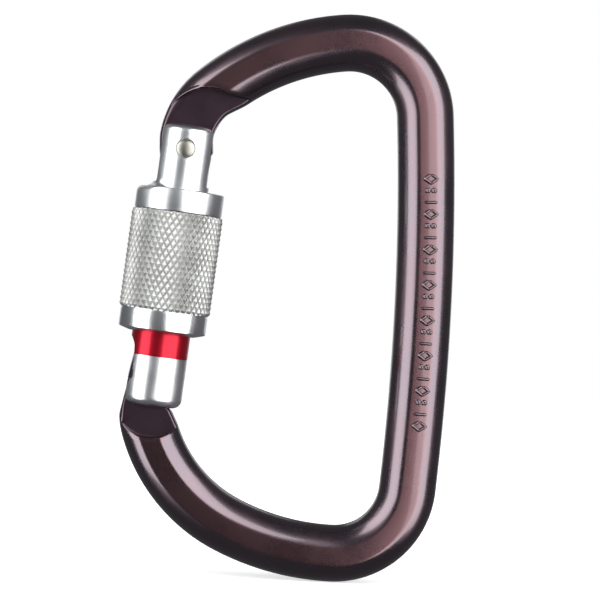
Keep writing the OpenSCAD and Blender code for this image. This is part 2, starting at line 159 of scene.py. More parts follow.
def smooth(x, low, high):
    """The cubic step 3t^2 - 2t^3, with t rising from 0 at low to 1 at high."""
    t = np.clip((x - low) / (high - low), 0.0, 1.0)
    return t * t * (3.0 - 2.0 * t)


class BarPath:
    """The centreline of the bar, as a chain of arcs that starts at the rivet and turns right."""

    def __init__(self):
        turns = [0.0] + [math.radians(a) for _, a in BAR_ARCS]
        self.radii = np.array([1.0e6] + [r for r, _ in BAR_ARCS])
        lengths = np.array([RIVET_DROP] + [r * math.radians(a) for r, a in BAR_ARCS])
        self.starts = np.concatenate([[0.0], np.cumsum(lengths)])
        self.length = self.starts[-1]
        heading = math.pi / 2 - GATE_TILT
        place = RIVET[[0, 2]].copy()
        self.headings, self.centres = [], []
        for radius, turn in zip(self.radii, turns):
            right = np.array([math.sin(heading), -math.cos(heading)])
            centre = place + radius * right
            self.headings.append(heading)
            self.centres.append(centre)
            heading = heading - (turn if turn else RIVET_DROP / radius)
            place = centre - radius * np.array([math.sin(heading), -math.cos(heading)])
        self.headings, self.centres = np.array(self.headings), np.array(self.centres)

    def place(self, s, out):
        """The point at length s and distance out from the centreline: the arc's centre less its
        radius, grown by out, along the unit vector to the right of the heading there."""
        s, out = np.broadcast_arrays(s, out)
        k = np.clip(np.searchsorted(self.starts, s, side="right") - 1, 0, len(self.radii) - 1)
        angle = self.headings[k] - (s - self.starts[k]) / self.radii[k]
        right = np.stack([np.sin(angle), -np.cos(angle)], axis=-1)
        return self.centres[k] - (self.radii[k] + out)[..., None] * right


PATH = BarPath()


def gate_coordinates(points):
    """Distance down the gate and inward, for (x, z) points: their dot products with both axes."""
    offset = points - RIVET[[0, 2]]
    return offset @ DOWN[[0, 2]], offset @ INWARD[[0, 2]]


# ---- meshes ----


def make_piece(name, points, faces, body, smooth_angle=35.0):
    """A mesh object from points in millimetres and a list of faces, set to ride on a body."""
    mesh = bpy.data.meshes.new(name)
    corners = np.asarray(points, float).reshape(-1, 3) * MM
    mesh.from_pydata(corners.tolist(), [], faces)
    mesh.update()
    piece = bpy.data.objects.new(name, mesh)
    bpy.context.scene.collection.objects.link(piece)
    finish_mesh(piece, smooth_angle)
    if body:
        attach(piece, body)
    return piece


def keep(piece, name, values):
    """Keeps a number for each point on a piece's mesh, under a name."""
    mark = piece.data.attributes.new(name, "FLOAT", "POINT")
    mark.data.foreach_set("value", np.asarray(values, np.float32).ravel())


def finish_mesh(piece, smooth_angle):
    """Smooth faces, with edges sharper than the angle left sharp."""
    mesh = piece.data
    mesh.shade_smooth()
    mesh.set_sharp_from_angle(angle=math.radians(smooth_angle))


def grid_faces(rows, columns, wrap_rows=False):
    """Four-sided faces between neighbouring points of a grid whose columns close on themselves,
    row by row, and from the last row to the first if the rows wrap too."""
    r, c = np.meshgrid(np.arange(rows - 1 + wrap_rows), np.arange(columns), indexing="ij")
    r2, c2 = (r + 1) % rows, (c + 1) % columns
    quads = [r * columns + c, r2 * columns + c, r2 * columns + c2, r * columns + c2]
    return np.stack(quads, axis=-1).reshape(-1, 4).tolist()


def capped_grid(points):
    """Faces of a tube of rings, with one face across each end ring."""
    rows, columns = points.shape[:2]
    ends = [list(range(columns)), list(range(rows * columns - 1, (rows - 1) * columns - 1, -1))]
    return grid_faces(rows, columns) + ends


def turned_points(radius, down, angles):
    """Rings about the gate's axis: down, radius cos(angle) inward and radius sin(angle) forward.
    Radius and down may be profiles or whole grids of profile by angle."""
    radius, down = np.asarray(radius, float), np.asarray(down, float)
    if radius.ndim == 1:
        radius, down = radius[:, None], down[:, None]
    return on_gate(down, radius * np.cos(angles), radius * np.sin(angles))


def full_turn(columns):
    return np.linspace(0.0, 2 * math.pi, columns, endpoint=False)


def tube(path, across, along, radius, sides):
    """A round tube: at each path point, radius times cos(b) across plus sin(b) along."""
    b = full_turn(sides)
    points = (
        path[:, None, :]
        + radius * np.cos(b)[None, :, None] * across[:, None, :]
        + radius * np.sin(b)[None, :, None] * along[:, None, :]
    )
    return points, capped_grid(points)


def merged(parts):
    """One list of points and faces from several."""
    points, faces, start = [], [], 0
    for part_points, part_faces in parts:
        points.append(part_points.reshape(-1, 3))
        faces += [[corner + start for corner in face] for face in part_faces]
        start += len(points[-1])
    return np.concatenate(points), faces


def outward(piece):
    """Turns every face of a closed piece outward."""
    shell = bmesh.new()
    shell.from_mesh(piece.data)
    bmesh.ops.recalc_face_normals(shell, faces=shell.faces)
    shell.to_mesh(piece.data)
    shell.free()
    return piece


def circle(radius, count):
    """Points of a circle, as (first, second) coordinates."""
    a = full_turn(count)
    return radius * np.stack([np.cos(a), np.sin(a)], axis=-1)


def cutter(outline, low, high, axes):
    """A closed prism: an outline in two gate coordinates, drawn out along the third.
    axes names the outline's two coordinates and the long one, as indices of (down, in, front)."""
    count = len(outline)
    rings = np.zeros((2, count, 3))
    for ring, level in zip(rings, (low, high)):
        ring[:, axes[0]], ring[:, axes[1]], ring[:, axes[2]] = outline[:, 0], outline[:, 1], level
    points = on_gate(rings[..., 0], rings[..., 1], rings[..., 2])
    return outward(make_piece("cutter", points, capped_grid(points), None))


def carve(piece, cutters):
    """Takes the cutters away from a piece, exactly, and keeps the result as its mesh."""
    for tool in cutters:
        cut = piece.modifiers.new("cut", "BOOLEAN")
        cut.operation, cut.solver, cut.object = "DIFFERENCE", "EXACT", tool
    graph = bpy.context.evaluated_depsgraph_get()
    mesh = bpy.data.meshes.new_from_object(piece.evaluated_get(graph))
    piece.modifiers.clear()
    piece.data = mesh
    mesh.name = piece.name
    for tool in cutters:
        bpy.data.objects.remove(tool)
    finish_mesh(piece, 30.0)
    return piece


def soften(piece, width):
    """Rounds the sharp edges of a piece."""
    bevel = piece.modifiers.new("soft_edges", "BEVEL")
    bevel.width, bevel.segments = width * MM, 2
    bevel.limit_method, bevel.angle_limit = "ANGLE", math.radians(35)
    bevel.use_clamp_overlap = True
    bevel.harden_normals = True
    return piece


# ---- the bar ----


def bar_columns():
    """Angles round half a bar's section, from the outer side to the inner side, with one at each
    end of the tang's flat and of the bar's flat."""
    low = math.asin(TANG_HALF / BAR_HALF)
    flat = math.asin(FLAT_HALF / BAR_HALF)
    edge = np.linspace(0.0, low, 6, endpoint=False)
    side = np.linspace(low, flat, 13, endpoint=False)
    middle = np.linspace(math.cos(flat), 0.0, 8)
    half = np.concatenate([edge, side, np.arccos(middle)])
    return np.concatenate([half, math.pi - half[-2::-1]])


def bar_face(out, half):
    """Half the bar's thickness at a distance out from its middle: the round section
    BAR_HALF * sqrt(1 - (out/half)^2), cut by a flat that leans outward and is crowned a little:
    top - lean * past - crown * past^2, where past is the distance out from the flat's turn."""
    share = np.clip(out / half, -1.0, 1.0)
    past = out - FLAT_TURN
    flat = FLAT_TOP - FLAT_LEAN * past - FLAT_CROWN * past * past
    return np.minimum(BAR_HALF * np.sqrt(1.0 - share * share), flat)


def inner_half(s):
    """The bar is thinner on its inner side round the hinge bend, by up to 0.8 mm."""
    return BAR_HALF - 0.8 * smooth(s, -3.0, 4.5) * (1.0 - smooth(s, 10.5, 17.0))


def crossing(outside, s):
    """For each column, the length s at which the grid of outside distances changes sign."""
    inside = outside < 0
    k = np.clip(np.argmax(inside != inside[0], axis=0), 1, len(s) - 1)
    c = np.arange(outside.shape[1])
    before, after = outside[k - 1, c], outside[k, c]
    return s[k - 1] + (s[k] - s[k - 1]) * before / (before - after)


def hinge_edge(out):
    """Where the pocket at the hinge ends, for each column. In gate coordinates its cutter is a
    round, an upright slab below the round's middle, and a slab on the inner side."""
    s = np.linspace(0.5, 26.0, 800)
    down, inward = gate_coordinates(PATH.place(s[:, None], out[None, :]))
    middle_down, middle_in = HINGE_CUT
    round_cut = np.hypot(inward - middle_in, down - middle_down) - HINGE_CUT_R
    side = np.maximum(middle_in - inward, HINGE_CUT_END - down)
    outside = np.minimum(np.minimum(round_cut, middle_down - down), side)
    return crossing(outside, s)


def nose_edge(out):
    """Where the pocket at the nose starts: a round about a point on the gate's axis."""
    s = np.linspace(PATH.length - 14.0, PATH.length + 6.0, 800)
    down, inward = gate_coordinates(PATH.place(s[:, None], out[None, :]))
    return crossing(np.hypot(inward, down - NOSE_CUT_AT) - NOSE_CUT_R, s)


def nose_outer(down):
    """The nose's outer edge, leaning out from the head's top to the bar."""
    return -np.interp(
        down,
        [HEAD_TOP, 40.5, 43.5, 46.5, 48.0, SHOULDER_AT, 54.4],
        [4.55, 4.75, 5.15, 5.4, 5.45, 6.0, 6.2],
    )


def nose_inner(down):
    """The nose's inner face, straight inside the gate and curving out to the bar below it."""
    return np.interp(down, [50.3, 51.0, SHOULDER_AT, 52.2], [NOSE_IN, 3.6, 4.2, 4.9])


def room_half(down):
    """Half the width of the wide room in the barrel, at a distance down the gate: it opens
    quickly like a quarter ellipse, widens slowly, and closes on the narrow slot."""
    opening = 3.2 * np.sqrt(1.0 - (1.0 - np.clip((down - ROOM_TOP) / 2.2, 0.0, 1.0)) ** 2)
    widening = 0.6 * smooth(down, 39.0, 45.0)
    closing = smooth(down, 45.4, ROOM_FOOT)
    return (opening + widening) * (1.0 - closing) + SLOT_HALF * closing


def pocket_rows(edge, face, floor, toward):
    """The rows that step from the full face down to the pocket's floor, or up again: a rounded
    edge, a wall and a filleted foot. Each row is a place along the bar and a half thickness.
    toward is 1 where the floor lies further along the bar, and -1 where it lies behind."""
    rim = np.minimum(POCKET_EDGE, (face - floor) / 2)
    foot = np.minimum(POCKET_FOOT, (face - floor) / 2)
    rows = []
    for a in np.radians([0.0, 30.0, 60.0, 90.0]):
        rows.append((edge + toward * rim * (math.sin(a) - 1.0), face - rim * (1 - math.cos(a))))
    for a in np.radians([0.0, 30.0, 60.0, 90.0]):
        rows.append((edge + toward * foot * (1 - math.cos(a)), floor + foot * (1 - math.sin(a))))
    return rows if toward > 0 else rows[::-1]


def nose_rows(t, start_place, start_height):
    """The nose's rings past its pocket: they turn from the bar's last ring to the plate's first,
    run up the plate, and widen into the head, whose top is rounded in two steps."""
    share_in = (1.0 - np.cos(t)) / 2.0
    side = np.minimum(1.0, (1.0 - np.abs(np.cos(t))) / 0.14)
    plate = np.sqrt(np.clip(side * (2.0 - side), 0.0, 1.0))

    def place_at(down):
        level = np.full(len(t), float(down))
        inward = nose_outer(level) * (1.0 - share_in) + nose_inner(level) * share_in
        return on_gate(level, inward, 0.0)[:, [0, 2]]

    def head_at(down):
        return float(room_half(np.array([down]))[0]) - HEAD_GAP

    rows = []
    for share in np.linspace(0.0, 1.0, 12)[1:]:
        place = start_place * (1.0 - share) + place_at(SHOULDER_AT) * share
        rows.append((place, start_height * (1.0 - share) + TANG_HALF * plate * share))
    for down in np.linspace(SHOULDER_AT, HEAD_FOOT + 0.3, 12)[1:]:
        rows.append((place_at(down), TANG_HALF * plate))
    foot, top = head_at(HEAD_FOOT), head_at(HEAD_TOP)
    rows.append((place_at(HEAD_FOOT + 0.1), (foot - 0.25) * plate))
    rows.append((place_at(HEAD_FOOT), foot * plate))
    for down in np.linspace(HEAD_FOOT - 0.2, HEAD_TOP + 0.3, 20):
        rows.append((place_at(down), min(HEAD_HALF, head_at(down - 0.25)) * plate))
    rows.append((place_at(HEAD_TOP + 0.1), (top - 0.15) * plate))
    rows.append((place_at(HEAD_TOP), (top - 0.45) * plate))
    return rows


def trimmed_nose(places, heights):
    """Rounds the nose's outer edge beside the pocket, by a soft limit on how far out it stands,
    and keeps the head within a round where the sleeve passes over it."""
    down, inward = gate_coordinates(places)
    near_nose = (down > 48.0) & (down < 60.0)
    back = EDGE_BLEND * np.log1p(np.exp((-inward - NOSE_OUT) / EDGE_BLEND)) * near_nose
    places = places + back[..., None] * INWARD[[0, 2]]
    in_sleeve = (down > HEAD_TOP - 1.0) & (down < 47.5) & (np.abs(inward) < BAR_HALF + 1.0)
    room = np.sqrt(np.clip(NOSE_ROUND**2 - inward**2, 0.0, None))
    return places, np.where(in_sleeve, np.minimum(heights, room), heights)


def bar_shell():
    """The whole frame as one tube of rings. A ring is a loop of columns: column t lies at
    half * cos(t) from the centreline, and at the face's height there, front and back alike. The
    rings stand square to the bar, and near the pockets they lean to follow the pocket's edge.
    Returns the rings' points, and how far across the bar each one lies."""
    t = bar_columns()
    columns = len(t)

    def half_at(s):
        outer_half = BAR_HALF - 0.3 * (1.0 - smooth(s, -1.0, 2.5))
        end = np.sqrt(1.0 - (np.minimum(s, 0.0) / TANG_END) ** 2)
        corner = 1.0 - 0.09 * smooth(-s, 0.2, 0.9)
        return np.where(np.cos(t) >= 0, outer_half, inner_half(s) * corner) * end

    def face_at(s):
        return bar_face(half_at(s) * np.cos(t), half_at(s))

    def rounded(face, height, s):
        """The lesser of two heights, blended over a width: height - width * log(1 +
        exp((height - face) / width)). The width is least inside and greatest round the bend."""
        bend = smooth(s, 1.0, 12.0) * (1.0 - smooth(s, 20.0, 30.0))
        width = 0.08 + smooth(np.cos(t), 0.3, 0.85) * (0.16 + 0.85 * bend)
        return height - width * np.log1p(np.exp((height - face) / width))

    rows = []

    def add_row(s, height=None):
        s = np.broadcast_to(np.asarray(s, float), (columns,))
        face = face_at(s)
        low = face if height is None else np.clip(rounded(face, height, s), 0.0, face)
        place = PATH.place(s, half_at(s) * np.cos(t))
        rows.append((place, low * (np.abs(np.cos(t)) < 1.0 - 1e-9)))

    def add_pocket(edge, toward):
        face = face_at(edge)
        for s, height in pocket_rows(edge, face, rounded(face, TANG_HALF, edge), toward):
            add_row(s, height)

    hinge = hinge_edge(half_at(np.full(columns, 9.0)) * np.cos(t))
    nose = nose_edge(BAR_HALF * np.cos(t))
    for a in np.linspace(0.09, math.pi / 2, 12)[:-1]:
        add_row(-TANG_END * math.cos(a), TANG_HALF)
    for share in np.linspace(0.0, 0.96, 22):
        add_row(hinge * share, TANG_HALF)
    add_pocket(hinge, -1)
    settled, leaving = hinge.max() + 6.0, nose.min() - 5.0
    for share in np.linspace(0.04, 1.0, 16):
        add_row((hinge + 0.35) * (1.0 - share) + settled * share)
    for s in np.linspace(settled, leaving, int((leaving - settled) / 0.85))[1:]:
        add_row(s)
    for share in np.linspace(0.0, 0.94, 12)[1:]:
        add_row(leaving * (1.0 - share) + (nose - 0.35) * share)
    add_pocket(nose, 1)
    rows += nose_rows(t, *rows[-1])

    places, heights = map(np.array, zip(*rows))
    places, heights = trimmed_nose(places, heights)
    across = np.broadcast_to(BAR_HALF * np.cos(t), heights.shape)
    front = np.stack([places[..., 0], -heights, places[..., 1]], axis=-1)
    back = front[:, -2:0:-1] * (1.0, -1.0, 1.0)
    points = np.concatenate([front, back], axis=1)
    return points, np.concatenate([across, across[:, -2:0:-1]], axis=1)


def cam_outline():
    """The cam on the tang, as (down, inward) points: a spiral that lies 0.04 mm inside the path of
    the plunger's dome, whose centre moves out evenly as the gate turns, then back along the
    tang's inner edge."""
    angle = np.radians(np.linspace(-4.0, 39.0, 40))
    rise = DOME_RISE / DOME_SWEEP
    reach = DOME_AT + rise * angle
    slant = np.hypot(reach, rise)
    clear = DOME_R + 0.04
    along, across = reach - clear * reach / slant, clear * rise / slant
    spiral = np.stack(
        [
            along * np.cos(angle) - across * np.sin(angle),
            along * np.sin(angle) + across * np.cos(angle),
        ],
        axis=-1,
    )
    return np.concatenate([spiral, [[0.8, 5.0], [0.0, 4.4], [0.0, -1.0]]])


def mark_strokes():
    """The raised pattern along the spine, as lines of (along, across) points: a plain row of
    diamonds, pairs of dots and bars that repeats."""
    a = np.radians(np.linspace(0.0, 360.0, 13))
    dot = 0.28 * np.stack([np.cos(a), np.sin(a)], axis=-1)
    bar = np.array([[0.0, -MARK_HALF], [0.0, MARK_HALF]])
    left = np.array([[-0.9, 0.0]])
    diamond = np.concatenate([left, bar[1:], -left, bar[:1], left])
    unit = [[diamond], [dot + (0.0, -0.6), dot + (0.0, 0.6)], [bar]]
    signs = unit * 7 + unit[:1]
    return [
        stroke + (MARKS_AT + MARK_STEP * place, MARK_OUT)
        for place, sign in enumerate(signs)
        for stroke in sign
    ]


def stroke_tube(stroke):
    """A half-sunk tube along a line on the bar's front flat. Its path lies at the face's height
    there; the tube is half as tall again as it is wide."""
    share = np.linspace(0.0, 1.0, 4 * len(stroke) + 5)
    steps = np.concatenate([[0.0], np.cumsum(np.hypot(*np.diff(stroke, axis=0).T))])
    s = np.interp(share, steps / steps[-1], stroke[:, 0])
    out = np.interp(share, steps / steps[-1], stroke[:, 1])
    flat = PATH.place(s, out)
    path = np.stack([flat[:, 0], -bar_face(out, BAR_HALF), flat[:, 1]], axis=-1)
    ahead = np.gradient(path, axis=0)
    across = np.cross(ahead, FRONT)
    across = across / np.linalg.norm(across, axis=1)[:, None]
    taper = np.sqrt(np.clip(1.0 - (2.0 * share - 1.0) ** 16, 0.02, 1.0))
    raised = np.broadcast_to(FRONT * 1.5, path.shape)
    return tube(path, across * taper[:, None], raised * taper[:, None], MARK_R, MARK_SIDES)


def knurl(angle, down, teeth, depth):
    """A diamond knurl as a depth below the crests: two sets of V grooves that wind opposite ways,
    and at each point the deeper of the two. A groove's depth falls off in a straight line."""
    turn = teeth * angle / (2 * math.pi)
    climb = (down - SLEEVE_AT) / KNURL_PITCH
    deepest = np.zeros(np.broadcast(turn, climb).shape)
    for way in (-1.0, 1.0):
        phase = turn + way * climb
        apart = np.abs(phase - np.round(phase))
        deepest = np.maximum(deepest, 1.0 - apart / 0.45)
    return depth * np.clip(deepest, 0.0, 1.0)


def sleeve_points(columns, teeth, depth):
    """The sleeve's profile, closed on itself: knurl, collar, chamfer, lip and chamber."""
    angles = full_turn(columns)
    step = KNURL_PITCH / KNURL_STEPS
    knurled = SLEEVE_AT + step * np.arange(1, int((KNURL_END - SLEEVE_AT) / step))
    before = [(6.75, SLEEVE_AT), (8.45, SLEEVE_AT), (8.62, SLEEVE_AT + 0.03)]
    collar = [(8.62, 0.02), (8.5, 0.08), (8.56, 0.3), (COLLAR_R, 0.6), (COLLAR_R, 1.95)]
    lip = [
        (COLLAR_R, 0.85),
        (8.55, 0.7),
        (8.4, 0.6),
        (7.4, 0.28),
        (6.6, 0.06),
        (6.4, 0.0),
        (6.0, 0.0),
        (5.88, 0.06),
        (LIP_R, 0.15),
        (LIP_R, LIP_LENGTH),
        (CHAMBER_R, LIP_LENGTH),
    ]
    after = [(r, KNURL_END + d) for r, d in collar] + [(r, SLEEVE_END - d) for r, d in lip]
    after += [(CHAMBER_R, 24.0), (CHAMBER_R, SLEEVE_AT + 0.2)]
    radius = [r for r, _ in before] + [SLEEVE_R] * len(knurled) + [r for r, _ in after]
    down = [d for _, d in before] + knurled.tolist() + [d for _, d in after]
    radius = np.repeat(np.array(radius)[:, None], columns, axis=1)
    down = np.repeat(np.array(down)[:, None], columns, axis=1)
    cut = knurl(angles[None, :], knurled[:, None], teeth, depth)
    ends = np.minimum(knurled - SLEEVE_AT, KNURL_END - knurled)
    taper = 0.16 * (1.0 - smooth(ends, 0.0, 0.4))
    radius[len(before) : len(before) + len(knurled)] -= cut + taper[:, None]
    points = turned_points(radius, down, angles)
    return points, grid_faces(len(points), columns, wrap_rows=True)


def gate_profile(columns):
    """The gate's turned outline as grids of radius and distance down, by profile point and angle.
    On the outer half the neck runs into the flange through a wide fillet and the flange's edge is
    rounded; on the inner half both are tight. The change between them is a cubic step."""
    angles = full_turn(columns)
    outer = smooth(-np.cos(angles), 0.45, 0.8)
    fillet = 0.3 + 1.6 * outer
    edge = 0.3 + 0.9 * outer
    radius, down = [], []

    def add(r, d):
        radius.append(r * np.ones(columns))
        down.append(d * np.ones(columns))

    def quarter(count):
        return np.radians(np.linspace(0.0, 90.0, count))

    add(0.02, -NECK_TOP)
    add(NECK_R - NECK_EDGE - 0.4, -NECK_TOP)
    for a in quarter(10):
        add(NECK_R - NECK_EDGE * (1.0 - math.sin(a)), -NECK_TOP + NECK_EDGE * (1.0 - math.cos(a)))
    for share in np.linspace(0.0, 1.0, 10)[1:]:
        add(NECK_R, (NECK_EDGE - NECK_TOP) * (1.0 - share) + (FLANGE_AT - fillet) * share)
    for a in quarter(12)[1:]:
        add(NECK_R + fillet * (1.0 - math.cos(a)), FLANGE_AT - fillet * (1.0 - math.sin(a)))
    for a in quarter(9):
        add(FLANGE_R - edge * (1.0 - math.sin(a)), FLANGE_AT + edge * (1.0 - math.cos(a)))
    add(FLANGE_R, FLANGE_END - 0.3)
    add(FLANGE_R - 0.08, FLANGE_END - 0.08)
    add(FLANGE_R - 0.3, FLANGE_END)
    add(BARREL_R, FLANGE_END)
    for d in np.linspace(FLANGE_END + 0.6, BAND_AT, 12):
        add(BARREL_R, d)
    add(BARREL_R - BAND_DEPTH, BAND_AT)
    add(BARREL_R - BAND_DEPTH, BAND_END)
    add(BARREL_R, BAND_END)
    for d in np.linspace(BAND_END, BARREL_END - BARREL_EDGE, 8)[1:]:
        add(BARREL_R, d)
    for a in quarter(11)[1:]:
        back, up = 1.0 - math.cos(a), 1.0 - math.sin(a)
        add(BARREL_R - BARREL_EDGE * back, BARREL_END - BARREL_EDGE * up)
    add(0.02, BARREL_END)
    return np.array(radius), np.array(down), angles


def room_outline(grow):
    """The wide room seen from the gate's outer side, as (down, front) points."""
    down = np.concatenate([np.linspace(ROOM_TOP, 40.0, 14), np.linspace(40.4, ROOM_FOOT, 22)])
    half = np.maximum(room_half(down), 0.02) + grow
    down = down - grow * (down < 38.2)
    side = np.stack([down, half], axis=-1)
    return np.concatenate([side, side[::-1] * (1.0, -1.0)])


def room_cutter(grow=0.0):
    """The wide room for the nose's head, open on the outer side."""
    return cutter(room_outline(grow), -9.0, WALL_IN + grow, (0, 2, 1))


def slot_cutter():
    """The narrow slot that runs from the room to the gate's end."""
    low, high = 46.6, 60.0
    corners = [[low, -SLOT_HALF], [high, -SLOT_HALF], [high, SLOT_HALF], [low, SLOT_HALF]]
    return cutter(np.array(corners), -9.0, WALL_IN, (0, 2, 1))


def hinge_cutters():
    """The hinge slot with its flat floor, the plunger's bore and the rivet's seats."""
    slot = np.array([[BORE_FLOOR, -9.5], [BORE_FLOOR, 9.5], [-12.0, 9.5], [-12.0, -9.5]])
    bore, seat = circle(BORE_R, 48), circle(SEAT_R, 64)
    return [
        cutter(slot, -SLOT_HALF, SLOT_HALF, (0, 1, 2)),
        cutter(bore, BORE_FLOOR - 1.0, BORE_END, (1, 2, 0)),
        cutter(seat, NECK_R - 0.7, 9.0, (0, 1, 2)),
        cutter(seat, -9.0, 0.7 - NECK_R, (0, 1, 2)),
    ]


def thread(name, body, wall, crest, start, turns):
    """A right-hand screw thread: a ridge whose section is a low trapezium, carried along
    down = start + pitch * turns, and sunk into the wall at both ends."""
    angle = np.linspace(0.0, 2 * math.pi * turns, int(turns * 60) + 1)
    fade = smooth(angle, 0.0, 1.2) * (1.0 - smooth(angle, angle[-1] - 1.2, angle[-1]))
    sunk = 0.3 if crest < wall else -0.3
    shares = np.array([0.0, 0.0, 1.0, 1.0, 0.0, 0.0])
    depths = np.array([sunk, 0.0, 0.0, 0.0, 0.0, sunk])
    widths = np.array([-0.8, -0.7, -0.26, 0.26, 0.7, 0.8])
    height = (crest - wall) * (1.25 * fade - 0.25)
    radius = wall + depths + shares * height[:, None]
    down = start + THREAD_PITCH * angle[:, None] / (2 * math.pi) + widths
    points = on_gate(down, radius * np.cos(angle)[:, None], radius * np.sin(angle)[:, None])
    return outward(make_piece(name, points, capped_grid(points), body, 40.0))


# ---- materials ----


class Value:
    """A number socket. Arithmetic with it adds Math nodes to its material."""

    def __init__(self, shop, socket):
        self.shop, self.socket = shop, socket

    def _math(self, operation, first, second):
        return self.shop.node("ShaderNodeMath", {"operation": operation}, {0: first, 1: second})

    def __add__(self, other):
        return self._math("ADD", self, other)

    def __sub__(self, other):
        return self._math("SUBTRACT", self, other)

    def __rsub__(self, other):
        return self._math("SUBTRACT", other, self)

    def __mul__(self, other):
        return self._math("MULTIPLY", self, other)

    __radd__ = __add__
    __rmul__ = __mul__


class Shop:
    """A material being made, and the one way that any of its nodes is added."""

    def __init__(self, name):
        self.material = bpy.data.materials.new(name)
        self.material.use_nodes = True
        self.tree = self.material.node_tree
        self.tree.nodes.clear()

    def node(self, kind, settings, sockets, out=0):
        """Adds a node: first its settings, and then its sockets, linked or set."""
        node = self.tree.nodes.new(kind)
        for key, setting in settings.items():
            setattr(node, key, setting)
        for key, source in sockets.items():
            if isinstance(source, Value):
                self.tree.links.new(source.socket, node.inputs[key])
            else:
                node.inputs[key].default_value = source
        return Value(self, node.outputs[out]) if node.outputs else None

    def place(self, turn=(0.0, 0.0, 0.0), scale=(1.0, 1.0, 1.0), start=(0.0, 0.0, 0.0)):
        """Object coordinates, turned and scaled."""
        here = self.node("ShaderNodeTexCoord", {}, {}, "Object")
        mapping = {"Vector": here, "Location": start, "Rotation": turn, "Scale": scale}
        return self.node("ShaderNodeMapping", {}, mapping)

    def noise(self, where, scale, detail=3.0, roughness=0.5):
        """A noise from 0 to 1 over a place."""
        sockets = {"Vector": where, "Scale": scale, "Detail": detail, "Roughness": roughness}
        return self.node("ShaderNodeTexNoise", {}, sockets)

    def ramp(self, value, low, high):
        """A number that rises from 0 at low to 1 at high, smoothly, and stays there."""
        settings = {"interpolation_type": "SMOOTHSTEP"}
        return self.node("ShaderNodeMapRange", settings, {0: value, 1: low, 2: high})

    def blend(self, share, first, second):
        """A colour between two colours."""
        sockets = {0: share, 6: first, 7: second}
        return self.node("ShaderNodeMix", {"data_type": "RGBA"}, sockets, 2)

    def attribute(self, name):
        """A number kept on the mesh's points."""
        return self.node("ShaderNodeAttribute", {"attribute_name": name}, {}, "Fac")

    def bump(self, height, strength, distance):
        """The normal over a height, whose distance is in millimetres."""
        sockets = {"Height": height, "Strength": strength, "Distance": distance * MM}
        return self.node("ShaderNodeBump", {}, sockets)

    def lines(self, where, scale):
        """A noise from 0 to 1 along one number."""
        sockets = {"W": where, "Scale": scale}
        return self.node("ShaderNodeTexNoise", {"noise_dimensions": "1D"}, sockets)

    def length(self, vector):
        """How long a vector is."""
        return self.node("ShaderNodeVectorMath", {"operation": "LENGTH"}, {0: vector}, "Value")

    def surface(self, **sockets):
        """The surface shader, whose sockets are named in lower case with underscores."""
        named = {}
        for key, value in sockets.items():
            named[" ".join(word[0].upper() + word[1:] for word in key.split("_"))] = value
        shader = self.node("ShaderNodeBsdfPrincipled", {}, named)
        self.node("ShaderNodeOutputMaterial", {}, {"Surface": shader})
        return self.material


def colour(prop):
    """A colour setting as red, green, blue and alpha."""
    return (*prop, 1.0)


ALONG_GATE = (0.0, GATE_TILT, 0.0)


def bronze_finish(looks):
    """Anodised aluminium: a dark bronze film with cloudy tone, drawing lines and worn specks. The
    pockets' floors are darker, with tool marks in rings about the nose cut's centre. The raised
    marks' feet take the same darker colour as painted shade."""
    shop = Shop("anodised_bronze")
    here = shop.place()
    cloud = shop.ramp(shop.noise(here, 70.0, 4.0, 0.6), 0.35, 0.65)
    fine = shop.noise(here, 1400.0, 2.0, 0.6)
    pits = shop.ramp(shop.noise(here, 2600.0, 2.0, 0.7), 0.68, 0.78)
    # pocket is 1 on the pockets' floors, and on the raised marks' feet as painted shade; it darkens
    # the tone below.
    pocket = shop.attribute("pocket")
    lines = shop.lines(shop.attribute("across"), 6.0)
    flat = shop.attribute("flat")
    tone = shop.blend(cloud * 0.6, colour(looks.bronze), colour(looks.bronze_warm))
    tone = shop.blend(flat * (0.7 + lines * 0.5), tone, colour(looks.bronze_flat))
    tone = shop.blend(pocket, tone, colour(looks.bronze_cut_and_shade))
    tone = shop.blend(pits * 0.12, tone, (0.5, 0.42, 0.42, 1.0))
    rough = 0.22 + cloud * 0.06 + fine * 0.06 + pocket * 0.06
    centre = on_gate(NOSE_CUT_AT, 0.0, 0.0) * MM
    milled = shop.place(scale=(1.0, 0.0, 1.0), start=(-centre[0], 0.0, -centre[2]))
    sweep = shop.lines(shop.length(milled), 3800.0)
    marks = shop.bump(fine * 0.3 + lines * flat * 0.6 + sweep * pocket * 5.0, 0.1, 0.02)
    return shop.surface(
        base_color=tone,
        metallic=1.0,
        roughness=rough,
        coat_weight=0.5,
        coat_roughness=0.06,
        coat_IOR=1.6,
        normal=marks,
    )


def silver_finish(looks):
    """Turned aluminium: fine tool rings round the gate's axis, faint stains and small dents."""
    shop = Shop("turned_aluminium")
    rings = shop.noise(shop.place(ALONG_GATE, (60.0, 60.0, 5200.0)), 1.0, 2.0, 0.6)
    here = shop.place()
    stain = shop.ramp(shop.noise(here, 160.0, 4.0, 0.6), 0.4, 0.7)
    speck = shop.ramp(shop.noise(here, 1500.0, 2.0, 0.6), 0.62, 0.75)
    tone = shop.blend(stain * 0.35, colour(looks.silver), (0.62, 0.63, 0.65, 1.0))
    tone = shop.blend(speck * 0.3, tone, (0.5, 0.5, 0.52, 1.0))
    marks = shop.bump(rings + speck * -0.3, 0.03, 0.02)
    return shop.surface(
        base_color=tone,
        metallic=1.0,
        roughness=0.26 + rings * 0.1 + stain * 0.08,
        normal=marks,
    )


